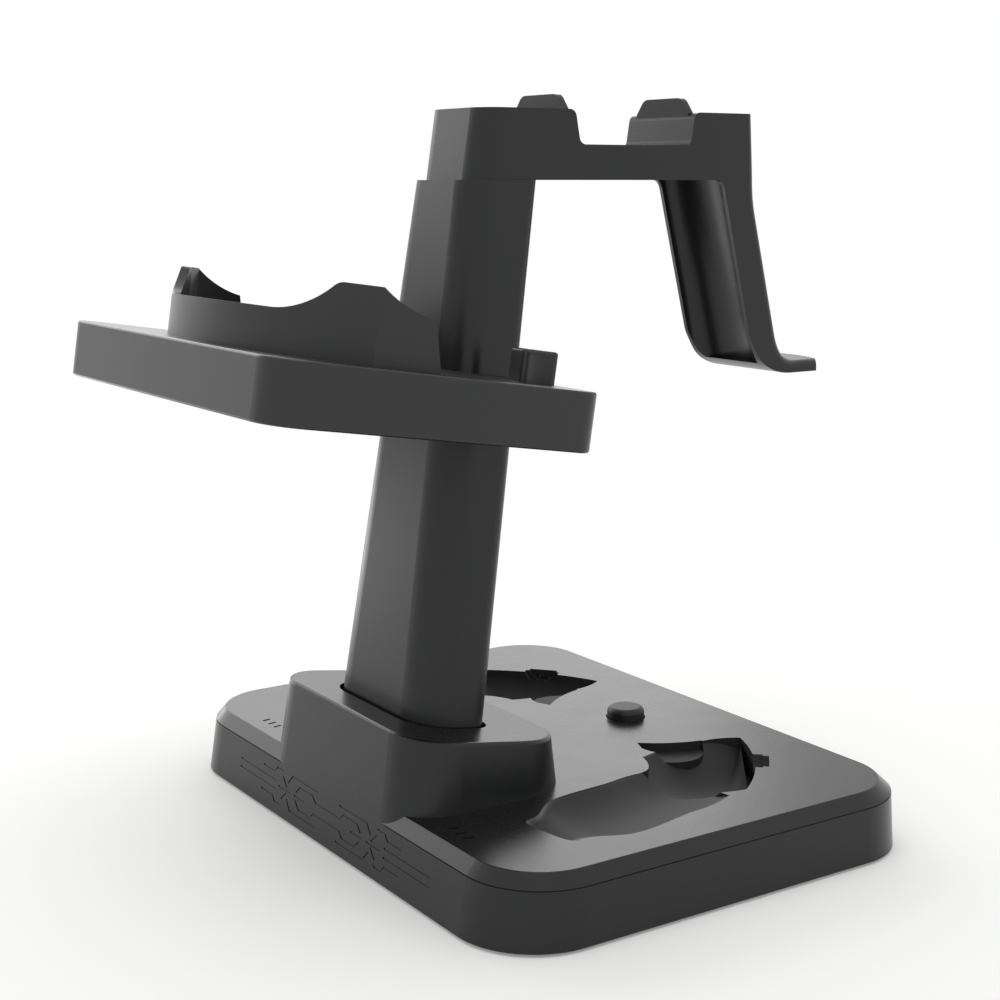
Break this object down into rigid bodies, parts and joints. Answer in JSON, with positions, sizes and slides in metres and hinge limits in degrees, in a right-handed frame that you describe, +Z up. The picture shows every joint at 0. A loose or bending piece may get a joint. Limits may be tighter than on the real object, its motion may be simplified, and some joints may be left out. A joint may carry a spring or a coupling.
{
  "type": "headset and controller charging stand",
  "caption": "Weighted stand with a leaning column, cradle shelf, strap saddle with hook, sculpted controller recesses and a sprung push button.",
  "frame": {"origin": "on the floor, under the middle of the whole stand's extent from the shelf's front to the hook's tip and across", "axes": "+X to the right across the base seen from the front, +Y from the front face to the back where the hook is, +Z up"},
  "size_m": [0.25, 0.2914, 0.2783],
  "materials": {
    "black_plastic": "satin black moulding",
    "inner_plastic": "plain black",
    "light_plastic": "smoked clear",
    "board": "solder-masked board",
    "foot_rubber": "matt",
    "screw_steel": "blackened",
    "ballast_steel": "plain sheet",
    "inlet_metal": "drawn sheet",
    "contact_brass": "plated"
  },
  "bodies": {
    "stand": {"base_top_cover": "black_plastic", "base_bottom_cover": "black_plastic", "rubber_feet": "foot_rubber", "base_screws": "screw_steel", "ballast_plate": "ballast_steel", "main_board": "board", "inlet_shell": "inlet_metal", "inlet_tongue": "inner_plastic", "switch_body": "inner_plastic", "light_board_left": "board", "light_board_right": "board", "light_guide_left": "light_plastic", "light_guide_right": "light_plastic", "led_chips": "light_plastic", "contact_block_left": "inner_plastic", "contact_block_right": "inner_plastic", "contact_pins_left": "contact_brass", "contact_pins_right": "contact_brass", "column_tube": "black_plastic", "column_screws": "screw_steel", "shelf_top": "black_plastic", "shelf_bottom_cover": "black_plastic", "shelf_screws": "screw_steel", "head_shell": "black_plastic", "head_under_cover": "black_plastic", "head_cover_screws": "screw_steel", "head_fixing_screws": "screw_steel"},
    "button": {"button_cap": "black_plastic", "switch_plunger": "inner_plastic"}
  },
  "joints": [
    {"name": "button_press", "type": "slide", "parent": "stand", "child": "button", "axis": [0, 0, 1], "range_m": [-0.0015, 0], "stiffness_N_per_m": 800, "springref_m": 0.0005}
  ]
}
